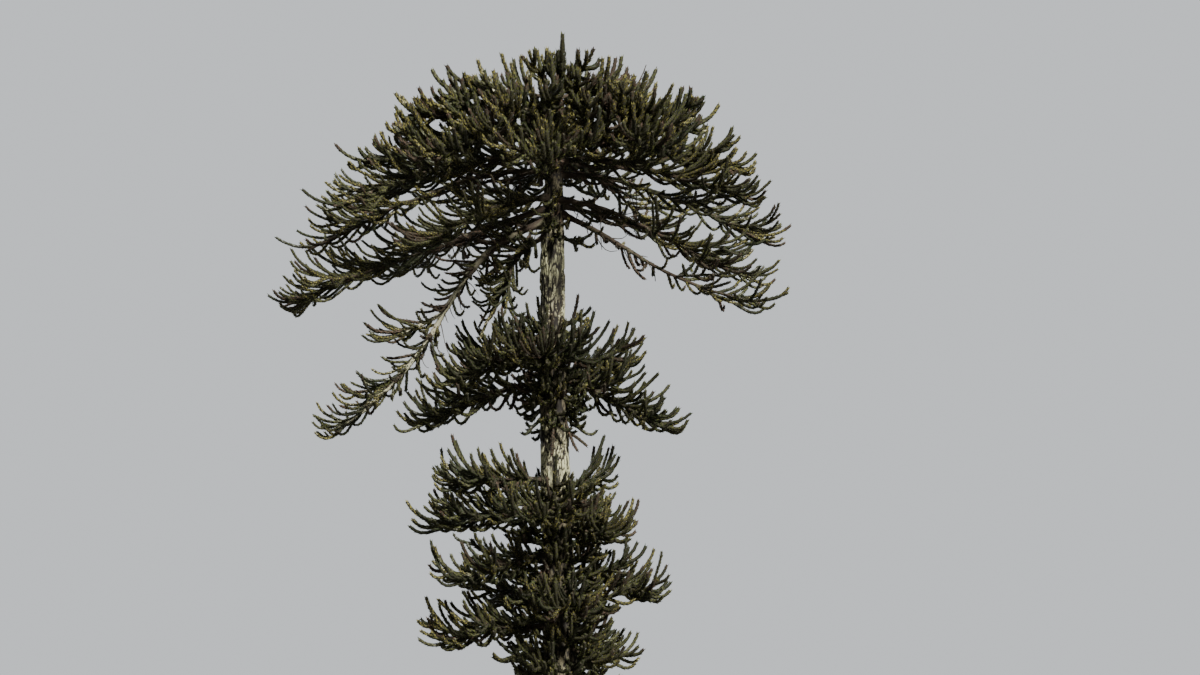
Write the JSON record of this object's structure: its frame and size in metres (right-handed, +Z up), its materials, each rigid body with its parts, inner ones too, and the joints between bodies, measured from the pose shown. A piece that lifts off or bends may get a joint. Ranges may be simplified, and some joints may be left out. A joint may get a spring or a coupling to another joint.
{
  "type": "monkey puzzle tree",
  "caption": "Mature monkey puzzle tree: tall bare trunk, umbrella crown of long drooping boughs, a hanging limb and tufts of foliage down the bole.",
  "frame": {"origin": "centre of the flat cut under the trunk, at ground level", "axes": "+Z up the trunk, +X to the right and -Y towards the viewer in the usual view"},
  "size_m": [8.3955, 7.1285, 14.0899],
  "materials": {
    "trunk_bark": "rough, with lichen",
    "bough_bark": "rough",
    "foliage": "waxy leaves"
  },
  "bodies": {
    "root": {"trunk": "trunk_bark", "low_left_bough": "bough_bark", "low_right_bough": "bough_bark", "low_front_right_bough": "bough_bark", "low_back_right_bough": "bough_bark", "low_back_left_bough": "bough_bark", "left_sweep_bough": "bough_bark", "right_sweep_bough": "bough_bark", "hanging_bough": "bough_bark", "low_left_foliage": "foliage", "low_right_foliage": "foliage", "low_front_right_foliage": "foliage", "low_back_right_foliage": "foliage", "low_back_left_foliage": "foliage", "low_front_left_foliage": "foliage", "left_sweep_foliage": "foliage", "right_sweep_foliage": "foliage", "upper_left_foliage": "foliage", "left_front_foliage": "foliage", "right_front_foliage": "foliage", "back_left_foliage": "foliage", "back_right_foliage": "foliage", "shoulder_left_foliage": "foliage", "shoulder_front_left_foliage": "foliage", "shoulder_front_foliage": "foliage", "shoulder_front_right_foliage": "foliage", "shoulder_right_foliage": "foliage", "shoulder_back_foliage": "foliage", "top_left_foliage": "foliage", "top_front_left_foliage": "foliage", "top_front_right_foliage": "foliage", "top_right_foliage": "foliage", "top_back_foliage": "foliage", "crest_left_foliage": "foliage", "crest_front_foliage": "foliage", "crest_right_foliage": "foliage", "leader_foliage": "foliage", "hanging_foliage": "foliage", "hanging_tuft_foliage": "foliage", "hanging_short_foliage": "foliage", "middle_left_foliage": "foliage", "middle_left_upper_foliage": "foliage", "middle_back_left_foliage": "foliage", "middle_front_foliage": "foliage", "middle_right_foliage": "foliage", "middle_right_upper_foliage": "foliage", "middle_back_foliage": "foliage", "skirt_upper_left_foliage": "foliage", "skirt_upper_right_foliage": "foliage", "skirt_left_foliage": "foliage", "skirt_front_foliage": "foliage", "skirt_right_foliage": "foliage", "skirt_back_foliage": "foliage", "skirt_front_left_foliage": "foliage", "skirt_right_lower_foliage": "foliage", "skirt_back_lower_foliage": "foliage", "skirt_front_lower_foliage": "foliage", "foot_left_foliage": "foliage", "foot_right_foliage": "foliage", "foot_back_foliage": "foliage"}
  },
  "joints": []
}
